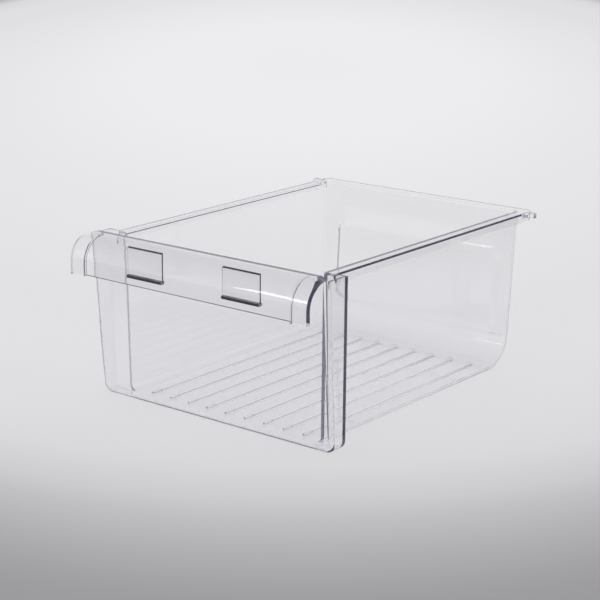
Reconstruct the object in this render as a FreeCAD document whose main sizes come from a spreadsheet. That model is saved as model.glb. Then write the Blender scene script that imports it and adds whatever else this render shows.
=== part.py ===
"""Clear moulded crisper drawer of a refrigerator, in millimetres.

The frame has X to the drawer's right, Y from its front to its back and Z up. The origin is on the ground,
under the middle of the drawer's overall box.
"""
import FreeCAD, Part
import os

import Sketcher

NODE = "crisper_drawer"
NEAR = 0.5

# Name, value and meaning of each driving dimension. Sketches measure Y from the foot of the front panel.
SIZES = [
    ("panel_half_foot", 160.0, "half width of the front panel at its foot"),
    ("panel_half_top", 162.0, "half width of the front panel at its top"),
    ("panel_lean", 10.0, "how far the panel's top stands ahead of its foot"),
    ("wrap_rear", 21.0, "rear face of the panel's wrapped ends"),
    ("tub_half_foot", 135.5, "half width of the tub at its foot"),
    ("tub_half_top", 138.0, "half width of the tub at its top"),
    ("tub_rear_foot", 362.0, "rear face of the tub at its foot"),
    ("tub_rear_top", 374.5, "rear face of the tub at its top"),
    ("tub_height", 180.0, "top of the tub's walls"),
    ("wall", 3.0, "thickness of walls and floor"),
    ("joint_depth", 2.0, "how far an added feature runs into the wall that carries it"),
    ("front_corner", 6.0, "radius around the panel's front face"),
    ("wrap_foot", 11.0, "radius of the panel's lower corners, seen from the front"),
    ("foot_corner", 9.0, "radius along the tub's foot and up its rear corners"),
    ("rear_bend", 36.0, "radius of the bend from the floor to the rear wall"),
    ("flange_reach", 10.0, "how far the rim flange stands out from the side walls"),
    ("rear_flange_reach", 11.0, "how far the rim flange stands out from the rear wall"),
    ("flange_thickness", 3.0, "thickness of the rim flange"),
    ("flange_corner", 8.0, "radius of the rim flange's rear corners"),
    ("skirt_drop", 10.0, "height of the skirt below the rim's top"),
    ("skirt_thickness", 2.5, "thickness of the skirt"),
    ("ear_reach", 10.0, "how far the rear ears stand out from the skirt"),
    ("ear_flare", 9.5, "radius of the flare from the skirt to an ear"),
    ("ear_tip", 6.0, "length of an ear's straight tip"),
    ("ear_setback", 10.0, "distance from an ear to the flange's rear edge"),
    ("ear_thickness", 5.5, "thickness of an ear"),
    ("lip_rise", 4.5, "how far the lip's top stands above the tub's walls"),
    ("lip_half", 160.0, "half length of the finger lip"),
    ("lip_reach", 30.0, "how far the lip stands ahead of the panel's top"),
    ("lip_radius", 29.0, "outer radius of the lip's curl"),
    ("lip_drop", 41.0, "height of the lip"),
    ("lip_wall", 3.0, "thickness of the lip"),
    ("band_width", 20.0, "width of the thicker band at each end of the lip"),
    ("band_proud", 1.2, "how far a band stands out from the lip"),
    ("band_inside", 1.5, "how far a band stands into the lip's hollow"),
    ("lip_corner", 10.0, "radius of the lip's upper ends, seen from the front"),
    ("plate_inner_edge", 41.0, "distance from the middle to a label plate"),
    ("plate_width", 49.0, "width of a label plate"),
    ("plate_ahead", 25.3, "front face of the label plates, ahead of the panel's foot"),
    ("plate_thickness", 2.0, "thickness of a label plate"),
    ("plate_drop", 37.7, "lower edge of the label plates, below the lip's top"),
    ("plate_root", 5.0, "upper edge of the label plates, below the lip's top and inside its curl"),
    ("bead_height", 3.0, "height of the bead on a label plate's lower edge"),
    ("bead_stand", 1.5, "how far the bead stands out from the plate"),
    ("rib_pitch", 26.4, "spacing of the floor ribs"),
    ("rib_count", 9, "number of floor ribs"),
    ("rib_width", 9.0, "width of a rib at its root"),
    ("rib_crest", 1.0, "width of a rib at its crest"),
    ("rib_height", 1.0, "height of a rib above the floor"),
    ("rib_front", 36.0, "front end of the ribs"),
    ("rib_root", 0.5, "how far the ribs run into the floor"),
    ("nib_length", 12.0, "length of the nib ahead of each rib"),
    ("nib_width", 2.4, "width of a nib"),
    ("nib_height", 1.5, "height of a nib above the floor"),
    ("boss_half", 123.0, "half width of the rear wall's inset panel at the wall"),
    ("boss_slope", 50.0, "slope of the inset panel's sides"),
    ("boss_inset", 4.5, "how much narrower the hollow behind the inset panel is, each way"),
    ("boss_low", 33.0, "lower edge of the inset panel"),
    ("boss_depth", 7.0, "how far the inset panel stands into the tub"),
    ("boss_gap", 41.0, "distance from the tub's top down to the inset panel"),
    ("boss_corner", 20.0, "radius of the inset panel's corners"),
]

LIP_TOP = "tub_height + lip_rise"

doc = FreeCAD.newDocument(NODE)
sheet = doc.addObject("Spreadsheet::Sheet", "Sizes")
for row, (alias, value, meaning) in enumerate(SIZES, start=1):
    sheet.set(f"A{row}", meaning)
    sheet.set(f"B{row}", str(value))
    sheet.setAlias(f"B{row}", alias)
doc.recompute()

body = doc.addObject("PartDesign::Body", "Drawer")
body.Label = NODE


def size(expression):
    """Work out an expression of sheet names, such as wall + lip_wall."""
    return float(body.evalExpression(bound(expression)))


def bound(expression):
    """Write the sheet's name before each alias of an expression."""
    words = expression.replace("(", " ( ").replace(")", " ) ").split()
    aliases = {alias for alias, _, _ in SIZES}
    return " ".join(f"Sizes.{word}" if word in aliases else word for word in words)


def origin_plane(role):
    """Find a plane of the body's origin."""
    return next(item for item in body.Origin.OriginFeatures if item.Role == role)


def new_sketch(name, role, height="0"):
    """Make a sketch on an origin plane of the body, raised along the plane's normal."""
    sketch = body.newObject("Sketcher::SketchObject", name)
    sketch.AttachmentSupport = [(origin_plane(role), "")]
    sketch.MapMode = "FlatFace"
    sketch.setExpression("AttachmentOffset.Base.z", bound(height))
    return sketch


def hold(sketch, geometry, point, across, along):
    """Hold a point of the sketch at places worked out from the sheet."""
    for kind, place in (("DistanceX", across), ("DistanceY", along)):
        index = sketch.addConstraint(Sketcher.Constraint(kind, -1, 1, geometry, point, size(place)))
        sketch.setExpression(f"Constraints[{index}]", bound(place))


def shifted(corner, neighbour):
    """Move a rounded corner's place by its radius along the level or upright edge to a neighbour."""
    across, along, radius = corner
    over = size(neighbour[0]) - size(across)
    up = size(neighbour[1]) - size(along)
    if abs(over) > abs(up):
        return (f"{across} {'+' if over > 0 else '-'} ( {radius} )", along)
    return (across, f"{along} {'+' if up > 0 else '-'} ( {radius} )")


def point_at(place):
    """Work out a place of a sketch."""
    return FreeCAD.Vector(size(place[0]), size(place[1]), 0)


def draw(sketch, corners):
    """Draw a closed outline. A corner (across, along, radius) is rounded between level and upright edges."""
    count = len(corners)
    ends = []
    for index, corner in enumerate(corners):
        if len(corner) == 2:
            ends.append((corner, corner))
        else:
            ends.append((shifted(corner, corners[index - 1]), shifted(corner, corners[(index + 1) % count])))
    lines = []
    for index in range(count):
        start = ends[index][1]
        stop = ends[(index + 1) % count][0]
        lines.append(sketch.addGeometry(Part.LineSegment(point_at(start), point_at(stop)), False))
    for index, corner in enumerate(corners):
        incoming, outgoing = lines[index - 1], lines[index]
        if len(corner) == 2:
            sketch.addConstraint(Sketcher.Constraint("Coincident", incoming, 2, outgoing, 1))
            hold(sketch, outgoing, 1, *corner)
            continue
        first, last = point_at(ends[index][0]), point_at(ends[index][1])
        place, radius = point_at(corner), size(corner[2])
        centre = first + last - place
        middle = centre + (place - centre).normalize() * radius
        forward = (first - centre).cross(last - centre).z > 0
        near, far = (1, 2) if forward else (2, 1)
        start, stop = (first, last) if forward else (last, first)
        arc = sketch.addGeometry(Part.Arc(start, middle, stop), False)
        hold(sketch, incoming, 2, *ends[index][0])
        hold(sketch, outgoing, 1, *ends[index][1])
        sketch.addConstraint(Sketcher.Constraint("Coincident", incoming, 2, arc, near))
        sketch.addConstraint(Sketcher.Constraint("Coincident", outgoing, 1, arc, far))
        rounding = sketch.addConstraint(Sketcher.Constraint("Radius", arc, radius))
        sketch.setExpression(f"Constraints[{rounding}]", bound(corner[2]))
    doc.recompute()


def drafted_box(name, kind, low, high, foot, top):
    """Add or take away a box with leaning sides. Foot and top each give a half width, a front and a rear."""
    feature = body.newObject(f"PartDesign::{kind}Wedge", name)
    upright = FreeCAD.Rotation(FreeCAD.Vector(1, 0, 0), 90)
    feature.AttachmentOffset = FreeCAD.Placement(FreeCAD.Vector(), upright)
    feature.AttachmentSupport = [(origin_plane("XY_Plane"), "")]
    feature.MapMode = "FlatFace"
    limits = {"Ymin": low, "Ymax": high}
    for level, (half, front, rear) in (("", foot), ("2", top)):
        limits[f"X{level}min"] = f"0 - ( {half} )"
        limits[f"X{level}max"] = half
        limits[f"Z{level}min"] = f"0 - ( {rear} )"
        limits[f"Z{level}max"] = f"0 - ( {front} )"
    for limit, expression in limits.items():
        feature.setExpression(limit, bound(expression))
    doc.recompute()
    return feature


def pad(name, sketch, length, back=False, slope="0"):
    """Push a sketch out to a length, narrowing by a slope."""
    feature = body.newObject("PartDesign::Pad", name)
    feature.Profile = sketch
    feature.Reversed = back
    feature.setExpression("Length", bound(length))
    feature.setExpression("TaperAngle", bound(f"0 - {slope}"))
    doc.recompute()
    return feature


def round_edges(name, radius, chosen):
    """Round the body's edges whose middles the given test accepts."""
    names = []
    for number, edge in enumerate(body.Shape.Edges, start=1):
        middle = edge.valueAt((edge.FirstParameter + edge.LastParameter) / 2)
        if chosen(edge, middle):
            names.append(f"Edge{number}")
    if not names:
        raise RuntimeError(f"{name} found no edge")
    base = body.Tip
    feature = body.newObject("PartDesign::Fillet", name)
    feature.Base = (base, names)
    feature.setExpression("Radius", bound(radius))
    doc.recompute()
    return feature


def cut(name, sketch, length, back=False, slope="0"):
    """Cut a sketch into the body and make sure that it took something away."""
    before = body.Shape.Volume
    feature = body.newObject("PartDesign::Pocket", name)
    feature.Profile = sketch
    feature.Reversed = back
    feature.setExpression("Length", bound(length))
    feature.setExpression("TaperAngle", bound(f"0 - {slope}"))
    doc.recompute()
    if body.Shape.Volume >= before:
        raise RuntimeError(f"{name} cut nothing")
    return feature


def mirror(name, features):
    """Repeat features on the drawer's other side."""
    feature = body.newObject("PartDesign::Mirrored", name)
    feature.Originals = features
    feature.MirrorPlane = (origin_plane("YZ_Plane"), [""])
    doc.recompute()
    body.Tip = feature
    doc.recompute()
    return feature


def build_tub():
    """Long box behind the panel, open at its front into the panel's own box."""
    drafted_box("Tub", "Additive", "0", "tub_height",
                ("tub_half_foot", "wall", "tub_rear_foot"), ("tub_half_top", "wall", "tub_rear_top"))
    round_edges("RearBend", "rear_bend", is_rear_foot)
    round_edges("TubCorners", "foot_corner", runs_back)


def build_panel():
    """Leaning front panel with ends that wrap back to the tub's sides."""
    drafted_box("Panel", "Additive", "0", "tub_height",
                ("panel_half_foot", "0", "wrap_rear"), ("panel_half_top", "0 - panel_lean", "wrap_rear"))
    round_edges("PanelFootCorners", "wrap_foot", is_wrap_foot)
    round_edges("PanelOutline", "front_corner", is_panel_outline)


def hollow_out():
    """Open the top and leave an even wall."""
    base = body.Tip
    faces = base.Shape.Faces
    top = max(range(len(faces)), key=lambda number: faces[number].CenterOfMass.z)
    hollow = body.newObject("PartDesign::Thickness", "Hollow")
    hollow.Base = (base, [f"Face{top + 1}"])
    hollow.Mode = "Skin"
    hollow.Join = "Intersection"
    hollow.Reversed = True
    hollow.setExpression("Value", bound("wall"))
    doc.recompute()


def rear_outline(name, inset):
    """Rounded outline on the rear wall's outer face, drawn within the inset panel's edge by an inset."""
    faces = body.Shape.Faces
    rear = max(range(len(faces)), key=lambda number: faces[number].CenterOfMass.y)
    support = body.Tip
    sketch = body.newObject("Sketcher::SketchObject", name)
    sketch.AttachmentSupport = [(support, f"Face{rear + 1}")]
    sketch.MapMode = "FlatFace"
    slant = "( tub_height ^ 2 + ( tub_rear_top - tub_rear_foot ) ^ 2 ) ^ 0.5"
    foot = f"tub_rear_foot * ( tub_rear_top - tub_rear_foot ) / ( {slant} )"
    top = f"{foot} + ( tub_height - boss_gap - {inset} ) * ( {slant} ) / tub_height"
    low = f"{foot} + ( boss_low + {inset} ) * ( {slant} ) / tub_height"
    half = f"boss_half - {inset}"
    rounding = f"boss_corner - {inset}"
    draw(sketch, [
        (f"0 - ( {half} )", low, rounding), (half, low, rounding), (half, top, rounding),
        (f"0 - ( {half} )", top, rounding),
    ])
    return sketch


def inset_rear():
    """Press a wide panel with sloping sides into the rear wall."""
    outline = rear_outline("InsetOutline", "0")
    pad("InsetPanel", outline, "boss_depth + wall", back=True, slope="boss_slope")
    outline = rear_outline("RecessOutline", "boss_inset")
    cut("Recess", outline, "boss_depth", slope="boss_slope")


def build_rim():
    """Flange around the tub's sides and rear, with the right skirt and ear."""
    side = "tub_half_top + flange_reach"
    rear = "tub_rear_top + rear_flange_reach"
    start = "wrap_rear - joint_depth"
    inner, inner_rear = "tub_half_top - joint_depth", "tub_rear_top - joint_depth"
    plan = new_sketch("FlangePlan", "XY_Plane", "tub_height")
    draw(plan, [
        (inner, start), (side, start), (side, rear, "flange_corner"),
        (f"0 - ( {side} )", rear, "flange_corner"), (f"0 - ( {side} )", start),
        (f"0 - ( {inner} )", start), (f"0 - ( {inner} )", inner_rear, "foot_corner - joint_depth"),
        (inner, inner_rear, "foot_corner - joint_depth"),
    ])
    pad("Flange", plan, "flange_thickness", back=True)
    end = f"{rear} - flange_corner"
    plan = new_sketch("SkirtPlan", "XY_Plane", "tub_height")
    draw(plan, [
        (f"{side} - skirt_thickness", start), (side, start), (side, end), (f"{side} - skirt_thickness", end),
    ])
    skirt = pad("Skirt", plan, "skirt_drop", back=True)
    ear_rear = f"{rear} - ear_setback"
    plan = new_sketch("EarPlan", "XY_Plane", "tub_height")
    draw(plan, [
        (f"{side} - joint_depth", f"{ear_rear} - ear_tip - ear_reach"),
        (side, f"{ear_rear} - ear_tip - ear_reach"),
        (side, f"{ear_rear} - ear_tip", "ear_flare"), (f"{side} + ear_reach", f"{ear_rear} - ear_tip"),
        (f"{side} + ear_reach", ear_rear), (f"{side} - joint_depth", ear_rear),
    ])
    return [skirt, pad("Ear", plan, "ear_thickness", back=True)]


def curl(front, top, bottom, radius, inset):
    """Outer corners of the lip's section, from its top edge over the curl to its lower edge."""
    return [(f"{front} + {inset}", f"{top} - {inset}", f"{radius} - {inset}"), (f"{front} + {inset}", bottom)]


def build_lip():
    """Curled finger lip along the panel's top, with a thick band and a rounded corner at its right end."""
    root = "0 - panel_lean"
    front = f"{root} - lip_reach"
    bottom = f"{LIP_TOP} - lip_drop"
    inner = f"{front} + lip_wall"
    section = new_sketch("LipSection", "YZ_Plane", "0 - lip_half")
    draw(section, [
        (f"{root} + wall", "tub_height - wall"), (f"{root} + wall", LIP_TOP),
        *curl(front, LIP_TOP, bottom, "lip_radius", "0"),
        (inner, bottom), (inner, f"{LIP_TOP} - lip_wall", "lip_radius - lip_wall"),
        (root, f"{LIP_TOP} - lip_wall"), (root, "tub_height"), (f"{root} + joint_depth", "tub_height - wall"),
    ])
    pad("Lip", section, "2 * lip_half")

    inside = f"{inner} + band_inside"
    ceiling = f"{LIP_TOP} - lip_wall - band_inside"
    section = new_sketch("BandSection", "YZ_Plane", "lip_half - band_width")
    draw(section, [
        (root, LIP_TOP),
        *curl(f"{front} - band_proud", LIP_TOP, f"{bottom} - band_proud", "lip_radius", "0"),
        (inside, f"{bottom} - band_proud"), (inside, ceiling, "lip_radius - lip_wall - band_inside"),
        (root, ceiling),
    ])
    band = pad("Band", section, "band_width")

    front_view = new_sketch("LipCornerOutline", "XZ_Plane", "panel_lean + lip_reach + band_proud")
    low = f"{LIP_TOP} - lip_corner - joint_depth"
    inner_end = "lip_half - lip_corner - joint_depth"
    draw(front_view, [
        ("lip_half + joint_depth", low), ("lip_half + joint_depth", f"{LIP_TOP} + joint_depth"),
        (inner_end, f"{LIP_TOP} + joint_depth"), (inner_end, LIP_TOP), ("lip_half", LIP_TOP, "lip_corner"),
        ("lip_half", low),
    ])
    corner = cut("LipCorner", front_view, "lip_reach + band_proud + wall")
    return [band, corner]


def build_label_plate():
    """Right label plate, hanging from the lip's underside, with a bead along its lower edge."""
    face = "0 - plate_ahead"
    back = f"{face} + plate_thickness"
    near, far = "plate_inner_edge", "plate_inner_edge + plate_width"
    features = []
    steps = (("Plate", "0", "plate_drop - plate_root"), ("Bead", "bead_stand", "bead_height"))
    for name, stand, height in steps:
        plan = new_sketch(f"{name}Plan", "XY_Plane", f"{LIP_TOP} - plate_drop")
        draw(plan, [
            (near, f"{face} - {stand}"), (far, f"{face} - {stand}"),
            (far, f"{back} + {stand}"), (near, f"{back} + {stand}"),
        ])
        features.append(pad(name, plan, height))
    return features


def build_ribs():
    """Low sloping ribs along the floor, each with a nib at its front, which run into the rear bend."""
    middle = "0 - rib_pitch * ( rib_count - 1 ) / 2"
    foot, crest = "wall - rib_root", "wall + rib_height"
    section = new_sketch("RibSection", "XZ_Plane", "0 - rib_front")
    draw(section, [
        (f"{middle} - rib_width / 2", foot), (f"{middle} + rib_width / 2", foot),
        (f"{middle} + rib_crest / 2", crest), (f"{middle} - rib_crest / 2", crest),
    ])
    # The ribs end within the wall of the bend from the floor to the rear wall.
    bend = "tub_rear_foot - rear_bend + rear_bend * ( tub_rear_top - tub_rear_foot ) / tub_height"
    seat = f"{bend} + ( ( rear_bend - wall / 4 ) ^ 2 - ( rear_bend - wall + rib_root ) ^ 2 ) ^ 0.5"
    rib = pad("Rib", section, f"{seat} - rib_front", back=True)
    left, right = f"{middle} - nib_width / 2", f"{middle} + nib_width / 2"
    plan = new_sketch("NibPlan", "XY_Plane", foot)
    draw(plan, [
        (left, "rib_front - nib_length"), (right, "rib_front - nib_length"),
        (right, "rib_front + joint_depth"), (left, "rib_front + joint_depth"),
    ])
    nib = pad("Nib", plan, "rib_root + nib_height")
    row = body.newObject("PartDesign::LinearPattern", "Ribs")
    row.Originals = [rib, nib]
    row.Direction = (section, ["H_Axis"])
    row.setExpression("Length", bound("rib_pitch * ( rib_count - 1 )"))
    row.setExpression("Occurrences", bound("rib_count"))
    doc.recompute()
    body.Tip = row
    doc.recompute()


def is_rear_foot(edge, middle):
    """Tell the tub's lower rear edge."""
    return middle.z < NEAR and middle.y > size("tub_rear_foot") - NEAR


def runs_back(edge, middle):
    """Tell the tub's lower side edges, which run on round the bend and up the rear corners."""
    span = edge.BoundBox
    return middle.z < NEAR and span.XLength < NEAR and span.YLength > size("tub_rear_foot / 2")


def is_wrap_foot(edge, middle):
    """Tell the lower side edges of the panel's wrapped ends."""
    return middle.z < NEAR and abs(middle.x) > size("panel_half_foot") - NEAR


def is_panel_outline(edge, middle):
    """Tell the edges around the panel's front face, apart from its top."""
    return edge.BoundBox.YMax < NEAR and edge.BoundBox.ZMin < size("tub_height") / 2


def check():
    """Stop where a step failed or the drawer isn't one sound solid."""
    for item in doc.Objects:
        if "Invalid" in item.State or "Error" in item.State:
            raise RuntimeError(f"{item.Name} failed: {item.State}")
    shape = body.Shape
    if shape.isNull() or not shape.isValid() or len(shape.Solids) != 1:
        raise RuntimeError("the drawer isn't one sound solid")


build_tub()
build_panel()
hollow_out()
inset_rear()
mirror("LeftSide", build_rim() + build_lip() + build_label_plate())
build_ribs()
body.setExpression("Placement.Base.y",
                   bound("( panel_lean + lip_reach + band_proud - tub_rear_top - rear_flange_reach ) / 2"))
doc.recompute()
check()
os.makedirs("parts", exist_ok=True)
body.Shape.exportStep(f"parts/{NODE}.step")
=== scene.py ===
"""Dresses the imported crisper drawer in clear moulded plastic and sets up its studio."""
import math

import bmesh
import bpy
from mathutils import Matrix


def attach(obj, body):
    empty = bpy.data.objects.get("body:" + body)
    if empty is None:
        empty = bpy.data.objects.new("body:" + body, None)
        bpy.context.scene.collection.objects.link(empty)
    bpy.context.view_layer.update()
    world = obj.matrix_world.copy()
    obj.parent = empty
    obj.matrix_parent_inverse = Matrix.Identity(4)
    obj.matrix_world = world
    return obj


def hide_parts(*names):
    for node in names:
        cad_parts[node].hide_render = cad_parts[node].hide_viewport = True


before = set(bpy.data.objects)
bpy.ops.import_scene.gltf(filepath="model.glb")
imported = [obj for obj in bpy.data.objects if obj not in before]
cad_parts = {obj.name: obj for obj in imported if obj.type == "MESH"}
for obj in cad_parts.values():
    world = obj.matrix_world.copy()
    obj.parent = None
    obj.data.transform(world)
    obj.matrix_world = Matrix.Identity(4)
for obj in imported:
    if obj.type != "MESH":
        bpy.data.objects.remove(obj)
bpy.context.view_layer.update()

bl_info = {
    "name": "Clear Crisper Drawer",
    "version": (1, 0, 0),
    "blender": (4, 5, 0),
    "location": "View3D > Sidebar > Crisper",
    "description": "Finishes a clear moulded fridge drawer and its studio",
    "category": "Object",
}

NODE = "crisper_drawer"

# Places in the drawer's own frame, in metres, by which its edges and faces are told apart.
NEAR = 0.0002
LONG_EDGE = 0.01
RIM_TOP = 0.18
RIM_SIDE = 0.148
FLOOR_TOP = 0.003
RIB_SIDE = 0.112
RIB_TOP = 0.004
PLATE_SIDES = (0.04, 0.091)
PLATE_DEPTH = (-0.2, -0.192)
PLATE_FOOT = 0.1468
BEAD_HEIGHT = 0.003
BAND_SIDE = 0.14
BAND_TOP = 0.178
LIP_BACK = -0.185

# How the solid's triangles are merged, and in how many steps its edges are rounded.
WELD_DISTANCE = 0.00001
FLAT_ANGLE = math.radians(0.3)
RIM_STEPS = 3
BAND_STEPS = 2

# Place of the painted-shade material among the moulding's materials, after the clear plastic. Its
# near-black plastic paints the dark lines that refraction draws along the edges.
PAINTED_SHADE_SLOT = 1

# Faint waves and fine scuffs of the moulded surface. Stronger scuffs make it rougher.
WAVE_SCALE = 14.0
WAVE_DETAIL = 2.0
WAVE_ROUGHNESS = 0.4
SCUFF_SCALE = 260.0
SCUFF_DETAIL = 4.0
SCUFF_SPAN = (0.35, 0.8)
SCUFF_ROUGHNESS = (0.015, 0.06)

# Paper under the drawer, a hair below its foot. Its tones paint a pool of light into its colour, running
# from the pool's darker edge inwards.
PAPER_SIZE = 40.0
PAPER_DROP = 0.0006
PAPER_SHINE = 0.05
PAPER_GRAIN = 40.0
PAPER_GRAIN_SPAN = (0.0, 1.0)
PAPER_ROUGHNESS = (0.85, 0.95)
PAINTED_POOL_TONES = (
    (0.0, 0.32), (0.05, 0.365), (0.097, 0.55), (0.13, 0.69), (0.2, 0.75), (0.32, 0.77), (0.67, 0.85),
)

# Upward part of a direction over which the studio's walls give way to its ceiling.
CEILING_SPAN = (0.35, 0.85)

# Lamp and camera. An unturned camera looks straight down, so a quarter turn makes it look level.
OVERHEAD_HEIGHT = 2.0
SENSOR_WIDTH = 36.0
VIEW_REACH = 50.0
LOOKING_LEVEL = math.radians(90)


class CrisperDrawerSettings(bpy.types.PropertyGroup):
    """Sizes and colours of the clear moulding."""

    rim_radius: bpy.props.FloatProperty(
        name="Rim Radius", description="Rounding along the outer upper edges of the rim",
        default=0.0022, min=0.0, unit="LENGTH")
    band_radius: bpy.props.FloatProperty(
        name="Band Radius", description="Rounding along the steps between the lip and its end bands",
        default=0.0003, min=0.0, unit="LENGTH")
    rib_share: bpy.props.FloatProperty(
        name="Rib Share", description="Height of the floor's ribs as a share of their height in the solid",
        default=0.5, min=0.0, max=1.0, subtype="FACTOR")
    smooth_angle: bpy.props.FloatProperty(
        name="Smooth Angle", description="Faces that meet at less than this are shaded as one surface",
        default=math.radians(40), subtype="ANGLE")
    plastic_tint: bpy.props.FloatVectorProperty(
        name="Plastic Tint", description="Colour of the clear plastic at its surface",
        default=(0.985, 0.984, 0.99), size=3, min=0.0, max=1.0, subtype="COLOR")
    # Near-black colour that paints shade onto the rim's rounds, the bands' steps and the plates' beads, in
    # place of the dark lines that refraction draws there.
    painted_shade_tint: bpy.props.FloatVectorProperty(
        name="Painted Shade Tint", description="Colour of the plastic along the edges that show as dark lines",
        default=(0.004, 0.004, 0.012), size=3, min=0.0, max=1.0, subtype="COLOR")
    passing_tint: bpy.props.FloatVectorProperty(
        name="Passing Tint", description="How far each face dims light on its way to the floor",
        default=(0.98, 0.98, 0.985), size=3, min=0.0, max=1.0, subtype="COLOR")
    caught_after: bpy.props.FloatProperty(
        name="Caught After", description="Reflections after which a ray caught in the plastic leaves it",
        default=1.5, min=0.0)
    caught_tint: bpy.props.FloatVectorProperty(
        name="Caught Tint", description="How far each face dims a ray that was caught in the plastic",
        default=(0.58, 0.57, 0.63), size=3, min=0.0, max=1.0, subtype="COLOR")
    refraction: bpy.props.FloatProperty(
        name="Refraction", description="Index of refraction of the clear plastic",
        default=1.5, min=1.0, max=2.0)
    wave_strength: bpy.props.FloatProperty(
        name="Wave Strength", description="How clearly the waves in the moulded surface show",
        default=0.05, min=0.0, max=1.0, subtype="FACTOR")
    wave_height: bpy.props.FloatProperty(
        name="Wave Height", description="Height that the waves in the moulded surface stand for",
        default=0.002, min=0.0, unit="LENGTH")


class CrisperStageSettings(bpy.types.PropertyGroup):
    """Studio around the drawer."""

    paper_color: bpy.props.FloatVectorProperty(
        name="Paper", description="Colour of the paper floor",
        default=(0.99, 0.985, 1.0), size=3, min=0.0, max=1.0, subtype="COLOR")
    # The paper's pool of light is painted into its colour; these place and size it.
    painted_pool_place: bpy.props.FloatVectorProperty(
        name="Light Pool", description="Middle of the brightest part of the paper",
        default=(-1.64, 2.02, 0.0), size=3, subtype="TRANSLATION", unit="LENGTH")
    pool_size: bpy.props.FloatVectorProperty(
        name="Pool Size", description="Reach of the bright part across and along the view",
        default=(1.45, 3.3, 1.0), size=3, subtype="XYZ")
    overhead_tilt: bpy.props.FloatVectorProperty(
        name="Overhead Tilt", description="How the overhead light is turned from straight down",
        default=(math.radians(-12), math.radians(-8), 0.0), size=3, subtype="EULER", unit="ROTATION")
    overhead_strength: bpy.props.FloatProperty(
        name="Overhead Strength", description="Strength of the overhead light",
        default=1.45, min=0.0)
    overhead_spread: bpy.props.FloatProperty(
        name="Overhead Spread", description="Angle over which the overhead light is spread",
        default=math.radians(90), subtype="ANGLE")
    softbox_place: bpy.props.FloatVectorProperty(
        name="Softbox Place", description="Where the softbox stands, which gleams on the lip",
        default=(-1.05, -1.65, 0.75), size=3, subtype="TRANSLATION", unit="LENGTH")
    softbox_aim: bpy.props.FloatVectorProperty(
        name="Softbox Aim", description="Point that the softbox faces",
        default=(0.1, 0.0, 0.1), size=3, subtype="TRANSLATION", unit="LENGTH")
    softbox_size: bpy.props.FloatVectorProperty(
        name="Softbox Size", description="Width and height of the softbox",
        default=(0.22, 0.26), size=2, min=0.0, unit="LENGTH")
    softbox_power: bpy.props.FloatProperty(
        name="Softbox Power", description="Power of the softbox",
        default=1.4, min=0.0, unit="POWER")
    studio_color: bpy.props.FloatVectorProperty(
        name="Studio", description="Colour of the studio's walls and ceiling",
        default=(0.985, 0.98, 1.0), size=3, min=0.0, max=1.0, subtype="COLOR")
    wall_level: bpy.props.FloatProperty(
        name="Wall Level", description="Brightness of the walls in what the plastic shows",
        default=0.84, min=0.0)
    ceiling_level: bpy.props.FloatProperty(
        name="Ceiling Level", description="Brightness of the ceiling in what the plastic shows",
        default=0.3, min=0.0)
    fill_level: bpy.props.FloatProperty(
        name="Fill Level", description="Brightness of the studio as a light on the paper",
        default=0.56, min=0.0)
    lens: bpy.props.FloatProperty(
        name="Lens", description="Focal length of the camera in millimetres",
        default=101.44, min=1.0, unit="CAMERA")
    camera_place: bpy.props.FloatVectorProperty(
        name="Camera Place", description="Where the camera stands",
        default=(1.1205, -1.4107, 0.5977), size=3, subtype="TRANSLATION", unit="LENGTH")
    camera_yaw: bpy.props.FloatProperty(
        name="Camera Turn", description="How far the camera is turned to the drawer's right side",
        default=math.radians(38.952), subtype="ANGLE")
    camera_pitch: bpy.props.FloatProperty(
        name="Camera Pitch", description="How far the camera looks down",
        default=math.radians(15.599), subtype="ANGLE")


def deselect():
    """Leave nothing selected."""
    if bpy.context.object and bpy.context.object.mode != "OBJECT":
        bpy.ops.object.mode_set(mode="OBJECT")
    bpy.ops.object.select_all(action="DESELECT")


def pick(piece):
    """Make one object the selected and active one."""
    deselect()
    piece.select_set(True)
    bpy.context.view_layer.objects.active = piece


def set_inputs(node, values):
    """Set a node's inputs by their names."""
    for name, value in values.items():
        node.inputs[name].default_value = value


def range_node(nodes, taken, given):
    """Node that turns one span of values into another."""
    node = nodes.new("ShaderNodeMapRange")
    set_inputs(node, {"From Min": taken[0], "From Max": taken[1], "To Min": given[0], "To Max": given[1]})
    return node


def mould_flow_group():
    """Node group with the faint waves that melt leaves in a moulded surface, and its fine wear."""
    group = bpy.data.node_groups.new("Mould Flow", "ShaderNodeTree")
    for name, default in (("Wave Scale", WAVE_SCALE), ("Scuff Scale", SCUFF_SCALE)):
        socket = group.interface.new_socket(name, in_out="INPUT", socket_type="NodeSocketFloat")
        socket.default_value = default
    for name in ("Height", "Roughness"):
        group.interface.new_socket(name, in_out="OUTPUT", socket_type="NodeSocketFloat")
    nodes, links = group.nodes, group.links
    given = nodes.new("NodeGroupInput")
    result = nodes.new("NodeGroupOutput")
    place = nodes.new("ShaderNodeTexCoord")
    waves = nodes.new("ShaderNodeTexNoise")
    set_inputs(waves, {"Detail": WAVE_DETAIL, "Roughness": WAVE_ROUGHNESS})
    scuffs = nodes.new("ShaderNodeTexNoise")
    set_inputs(scuffs, {"Detail": SCUFF_DETAIL})
    dull = range_node(nodes, SCUFF_SPAN, SCUFF_ROUGHNESS)
    links.new(place.outputs["Object"], waves.inputs["Vector"])
    links.new(place.outputs["Object"], scuffs.inputs["Vector"])
    links.new(given.outputs["Wave Scale"], waves.inputs["Scale"])
    links.new(given.outputs["Scuff Scale"], scuffs.inputs["Scale"])
    links.new(scuffs.outputs["Fac"], dull.inputs["Value"])
    links.new(waves.outputs["Fac"], result.inputs["Height"])
    links.new(dull.outputs["Result"], result.inputs["Roughness"])
    return group


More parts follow.
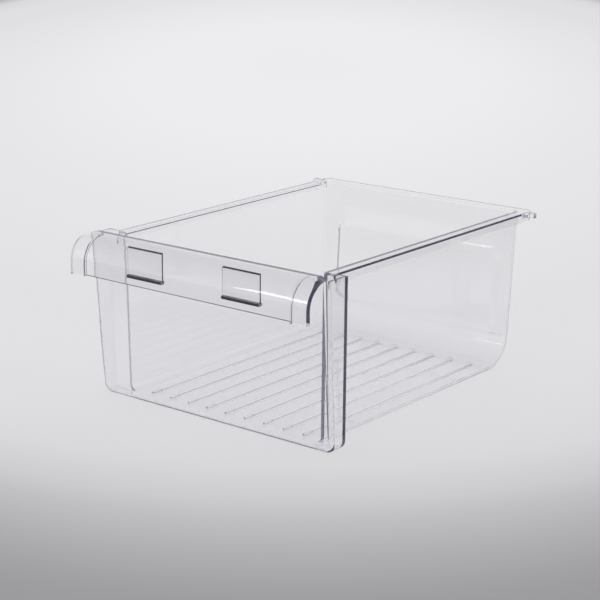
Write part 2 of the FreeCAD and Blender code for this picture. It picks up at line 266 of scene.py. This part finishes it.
def clear_plastic(settings, name, tint, flow_group):
    """Clear moulded plastic that lets light through to what stands behind it."""
    material = bpy.data.materials.new(name)
    material.use_nodes = True
    nodes, links = material.node_tree.nodes, material.node_tree.links
    shader = nodes["Principled BSDF"]
    output = nodes["Material Output"]
    set_inputs(shader, {"Base Color": (*tint, 1.0), "Transmission Weight": 1.0, "IOR": settings.refraction})
    flow = nodes.new("ShaderNodeGroup")
    flow.node_tree = flow_group
    bump = nodes.new("ShaderNodeBump")
    set_inputs(bump, {"Strength": settings.wave_strength, "Distance": settings.wave_height})
    links.new(flow.outputs["Height"], bump.inputs["Height"])
    links.new(flow.outputs["Roughness"], shader.inputs["Roughness"])
    links.new(bump.outputs["Normal"], shader.inputs["Normal"])
    # Light reaches the floor through the walls, so rays that only carry light pass with a slight loss.
    # Rays caught between two faces would end black, so they leave the plastic dimmed instead.
    passing = nodes.new("ShaderNodeBsdfTransparent")
    set_inputs(passing, {"Color": (*settings.passing_tint, 1.0)})
    leaving = nodes.new("ShaderNodeBsdfTransparent")
    set_inputs(leaving, {"Color": (*settings.caught_tint, 1.0)})
    rays = nodes.new("ShaderNodeLightPath")
    carried = nodes.new("ShaderNodeMath")
    carried.operation = "MAXIMUM"
    caught = nodes.new("ShaderNodeMath")
    caught.operation = "GREATER_THAN"
    caught.inputs[1].default_value = settings.caught_after
    seen = nodes.new("ShaderNodeMixShader")
    surface = nodes.new("ShaderNodeMixShader")
    links.new(rays.outputs["Is Shadow Ray"], carried.inputs[0])
    links.new(rays.outputs["Is Diffuse Ray"], carried.inputs[1])
    links.new(rays.outputs["Glossy Depth"], caught.inputs[0])
    links.new(caught.outputs["Value"], seen.inputs["Fac"])
    links.new(shader.outputs["BSDF"], seen.inputs[1])
    links.new(leaving.outputs["BSDF"], seen.inputs[2])
    links.new(carried.outputs["Value"], surface.inputs["Fac"])
    links.new(seen.outputs["Shader"], surface.inputs[1])
    links.new(passing.outputs["BSDF"], surface.inputs[2])
    links.new(surface.outputs["Shader"], output.inputs["Surface"])
    return material


def any_edge(first, last):
    """Take every edge."""
    return True


def on_rim(first, last):
    """Tell the long outer upper edges of the rim's sides."""
    return (last - first).length > LONG_EDGE and all(
        abs(end.z - RIM_TOP) < NEAR and abs(abs(end.x) - RIM_SIDE) < NEAR for end in (first, last))


def on_band(first, last):
    """Tell the edges of the steps between the lip and its end bands."""
    return all(
        abs(abs(end.x) - BAND_SIDE) < NEAR and end.y < LIP_BACK and end.z < BAND_TOP
        for end in (first, last))


def select_edges(piece, angle, wanted):
    """Select, in edit mode, the edges sharper than an angle that pass a test of their two ends."""
    bpy.ops.mesh.select_all(action="DESELECT")
    form = bmesh.from_edit_mesh(piece.data)
    for edge in form.edges:
        first, last = (corner.co for corner in edge.verts)
        edge.select_set(edge.calc_face_angle(0.0) > angle and wanted(first, last))
    bmesh.update_edit_mesh(piece.data)


def merge_solid():
    """Enter edit mode and merge the active object's triangles into flat faces with no shading marks."""
    bpy.ops.mesh.customdata_custom_splitnormals_clear()
    bpy.ops.object.shade_smooth()
    bpy.ops.object.mode_set(mode="EDIT")
    bpy.ops.mesh.select_all(action="SELECT")
    bpy.ops.mesh.mark_sharp(clear=True)
    bpy.ops.mesh.remove_doubles(threshold=WELD_DISTANCE)
    bpy.ops.mesh.dissolve_limited(angle_limit=FLAT_ANGLE)


def lower_ribs(piece, share):
    """Bring the floor's ribs down to a share of their height."""
    bpy.ops.mesh.select_mode(type="VERT")
    bpy.ops.mesh.select_all(action="DESELECT")
    form = bmesh.from_edit_mesh(piece.data)
    for corner in form.verts:
        corner.select_set(FLOOR_TOP + NEAR < corner.co.z < RIB_TOP + NEAR and abs(corner.co.x) < RIB_SIDE)
    bmesh.update_edit_mesh(piece.data)
    bpy.ops.transform.resize(value=(1.0, 1.0, share), center_override=(0.0, 0.0, FLOOR_TOP))
    bpy.ops.mesh.select_mode(type="EDGE")


def paint_shade_on_beads(piece):
    """Paint shade onto the beads under the label plates with the near-black plastic, in place of the dark
    bars that refraction shows there.
    """
    form = bmesh.from_edit_mesh(piece.data)
    for face in form.faces:
        middle = face.calc_center_median()
        if (PLATE_FOOT - NEAR < middle.z < PLATE_FOOT + BEAD_HEIGHT / 2 + NEAR
                and PLATE_SIDES[0] < abs(middle.x) < PLATE_SIDES[1]
                and PLATE_DEPTH[0] < middle.y < PLATE_DEPTH[1]):
            face.material_index = PAINTED_SHADE_SLOT
    bmesh.update_edit_mesh(piece.data)


def round_edges(piece, settings):
    """Round the rim and the lip's bands, and paint shade onto the rounds with the near-black plastic, in
    place of the dark lines that refraction draws there.
    """
    rounds = (
        (on_rim, settings.rim_radius, RIM_STEPS),
        (on_band, settings.band_radius, BAND_STEPS),
    )
    for wanted, radius, steps in rounds:
        select_edges(piece, settings.smooth_angle, wanted)
        bpy.ops.mesh.bevel(offset=radius, offset_type="OFFSET", segments=steps, affect="EDGES",
                           clamp_overlap=False, material=PAINTED_SHADE_SLOT)


def even_shading(piece, angle):
    """Mark the sharp edges, leave edit mode and let the larger faces lead the shading."""
    select_edges(piece, angle, any_edge)
    bpy.ops.mesh.mark_sharp()
    bpy.ops.object.mode_set(mode="OBJECT")
    bpy.ops.object.modifier_add(type="WEIGHTED_NORMAL")
    modifier = piece.modifiers[-1]
    modifier.keep_sharp = True
    bpy.ops.object.modifier_apply(modifier=modifier.name)


class CRISPER_OT_drawer(bpy.types.Operator):
    """Finish the moulded drawer: one clear body with shade painted as dark lines along its rounds and beads
    """

    bl_idname = "crisper.drawer"
    bl_label = "Moulded Drawer"

    def execute(self, context):
        settings = context.scene.crisper_drawer
        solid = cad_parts[NODE]
        moulding = bpy.data.objects.new("moulded_drawer", solid.data.copy())
        context.collection.objects.link(moulding)
        pick(moulding)
        flow = mould_flow_group()
        # The second material is near-black plastic that paints shade onto the rounds and beads.
        clear_and_painted_shade = (
            ("Clear Moulded Plastic", settings.plastic_tint),
            ("Clear Plastic Painted Shade", settings.painted_shade_tint),
        )
        moulding.data.materials.clear()
        for name, tint in clear_and_painted_shade:
            moulding.data.materials.append(clear_plastic(settings, name, tint, flow))
        merge_solid()
        lower_ribs(moulding, settings.rib_share)
        paint_shade_on_beads(moulding)
        round_edges(moulding, settings)
        even_shading(moulding, settings.smooth_angle)
        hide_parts(NODE)
        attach(moulding, "root")
        return {"FINISHED"}


def paper(settings):
    """Pale seamless paper with a pool of light painted into its colour, brightest behind the drawer and
    darker towards the edges.
    """
    material = bpy.data.materials.new("Seamless Paper")
    material.use_nodes = True
    nodes, links = material.node_tree.nodes, material.node_tree.links
    shader = nodes["Principled BSDF"]
    set_inputs(shader, {"Specular IOR Level": PAPER_SHINE})
    place = nodes.new("ShaderNodeTexCoord")
    pool = nodes.new("ShaderNodeMapping")
    pool.vector_type = "TEXTURE"
    set_inputs(pool, {"Location": settings.painted_pool_place, "Rotation": (0.0, 0.0, settings.camera_yaw),
                      "Scale": settings.pool_size})
    spread = nodes.new("ShaderNodeTexGradient")
    spread.gradient_type = "SPHERICAL"
    # Painted light: the ramp turns the distance from the pool's middle into the paper's colour.
    tone = nodes.new("ShaderNodeValToRGB")
    ramp = tone.color_ramp
    ramp.interpolation = "CARDINAL"
    for position, level in PAINTED_POOL_TONES:
        stop = ramp.elements[0] if position == 0.0 else ramp.elements.new(position)
        stop.color = (*(level * part for part in settings.paper_color), 1.0)
    # A new ramp ends in a white stop of its own.
    ramp.elements.remove(ramp.elements[-1])
    grain = nodes.new("ShaderNodeTexNoise")
    set_inputs(grain, {"Scale": PAPER_GRAIN})
    dull = range_node(nodes, PAPER_GRAIN_SPAN, PAPER_ROUGHNESS)
    links.new(place.outputs["Object"], pool.inputs["Vector"])
    links.new(pool.outputs["Vector"], spread.inputs["Vector"])
    links.new(spread.outputs["Fac"], tone.inputs["Fac"])
    links.new(tone.outputs["Color"], shader.inputs["Base Color"])
    links.new(place.outputs["Object"], grain.inputs["Vector"])
    links.new(grain.outputs["Fac"], dull.inputs["Value"])
    links.new(dull.outputs["Result"], shader.inputs["Roughness"])
    return material


def lay_paper(settings):
    """Wide paper floor under the drawer."""
    deselect()
    bpy.ops.mesh.primitive_plane_add(size=PAPER_SIZE, location=(0.0, 0.0, -PAPER_DROP))
    floor = bpy.context.object
    floor.name = "paper_floor"
    floor.data.materials.append(paper(settings))


def hang_overhead_light(settings):
    """Broad soft light from above, which the plastic doesn't mirror."""
    deselect()
    bpy.ops.object.light_add(
        type="SUN", location=(0.0, 0.0, OVERHEAD_HEIGHT), rotation=settings.overhead_tilt)
    overhead = bpy.context.object
    overhead.name = "overhead_light"
    overhead.data.energy = settings.overhead_strength
    overhead.data.angle = settings.overhead_spread
    overhead.visible_glossy = False
    overhead.visible_transmission = False


def stand_softbox(settings):
    """Small softbox on the left, whose gleam runs along the lip."""
    deselect()
    bpy.ops.object.light_add(type="AREA", location=settings.softbox_place)
    softbox = bpy.context.object
    softbox.name = "left_softbox"
    softbox.data.shape = "RECTANGLE"
    softbox.data.size, softbox.data.size_y = settings.softbox_size
    softbox.data.energy = settings.softbox_power
    facing = settings.softbox_aim - settings.softbox_place
    softbox.rotation_euler = facing.to_track_quat("-Z", "Y").to_euler()
    softbox.visible_transmission = False


def paint_studio(scene, settings):
    """Pale walls around the drawer under a darker ceiling, which the clear edges pick up."""
    world = scene.world or bpy.data.worlds.new("Studio")
    scene.world = world
    world.use_nodes = True
    nodes, links = world.node_tree.nodes, world.node_tree.links
    background = nodes["Background"]
    set_inputs(background, {"Color": (*settings.studio_color, 1.0)})
    rays = nodes.new("ShaderNodeLightPath")
    level = nodes.new("ShaderNodeMix")
    set_inputs(level, {"B": settings.fill_level})
    place = nodes.new("ShaderNodeTexCoord")
    parts = nodes.new("ShaderNodeSeparateXYZ")
    ceiling = range_node(nodes, CEILING_SPAN, (settings.wall_level, settings.ceiling_level))
    links.new(place.outputs["Generated"], parts.inputs["Vector"])
    links.new(parts.outputs["Z"], ceiling.inputs["Value"])
    links.new(ceiling.outputs["Result"], level.inputs["A"])
    links.new(rays.outputs["Is Diffuse Ray"], level.inputs["Factor"])
    links.new(level.outputs["Result"], background.inputs["Strength"])


def place_camera(context, settings):
    """Camera at the height and turn from which the drawer is shown."""
    lens = bpy.data.cameras.new("camera")
    camera = bpy.data.objects.new("camera", lens)
    context.collection.objects.link(camera)
    lens.lens = settings.lens
    lens.sensor_width = SENSOR_WIDTH
    lens.clip_end = VIEW_REACH
    camera.location = settings.camera_place
    camera.rotation_euler = (LOOKING_LEVEL - settings.camera_pitch, 0.0, settings.camera_yaw)
    context.scene.camera = camera


class CRISPER_OT_stage(bpy.types.Operator):
    """Set up the paper, the soft lights, the studio's walls and the camera"""

    bl_idname = "crisper.stage"
    bl_label = "Studio"

    def execute(self, context):
        settings = context.scene.crisper_stage
        lay_paper(settings)
        hang_overhead_light(settings)
        stand_softbox(settings)
        paint_studio(context.scene, settings)
        place_camera(context, settings)
        context.scene.view_settings.view_transform = "Standard"
        return {"FINISHED"}


class CRISPER_PT_panel(bpy.types.Panel):
    """Lists the drawer's steps"""

    bl_idname = "CRISPER_PT_panel"
    bl_label = "Crisper Drawer"
    bl_space_type = "VIEW_3D"
    bl_region_type = "UI"
    bl_category = "Crisper"

    def draw(self, context):
        """Show one button for each step."""
        for operator in (CRISPER_OT_drawer, CRISPER_OT_stage):
            self.layout.operator(operator.bl_idname)


CLASSES = (
    CrisperDrawerSettings,
    CrisperStageSettings,
    CRISPER_OT_drawer,
    CRISPER_OT_stage,
    CRISPER_PT_panel,
)


def register():
    """Make the settings, steps and panel known."""
    for kind in CLASSES:
        bpy.utils.register_class(kind)
    bpy.types.Scene.crisper_drawer = bpy.props.PointerProperty(type=CrisperDrawerSettings)
    bpy.types.Scene.crisper_stage = bpy.props.PointerProperty(type=CrisperStageSettings)


def unregister():
    """Take the settings, steps and panel away again."""
    del bpy.types.Scene.crisper_stage
    del bpy.types.Scene.crisper_drawer
    for kind in reversed(CLASSES):
        bpy.utils.unregister_class(kind)


def main():
    """Build every piece in order."""
    register()
    bpy.ops.crisper.drawer()
    bpy.ops.crisper.stage()


if __name__ == "__main__":
    main()
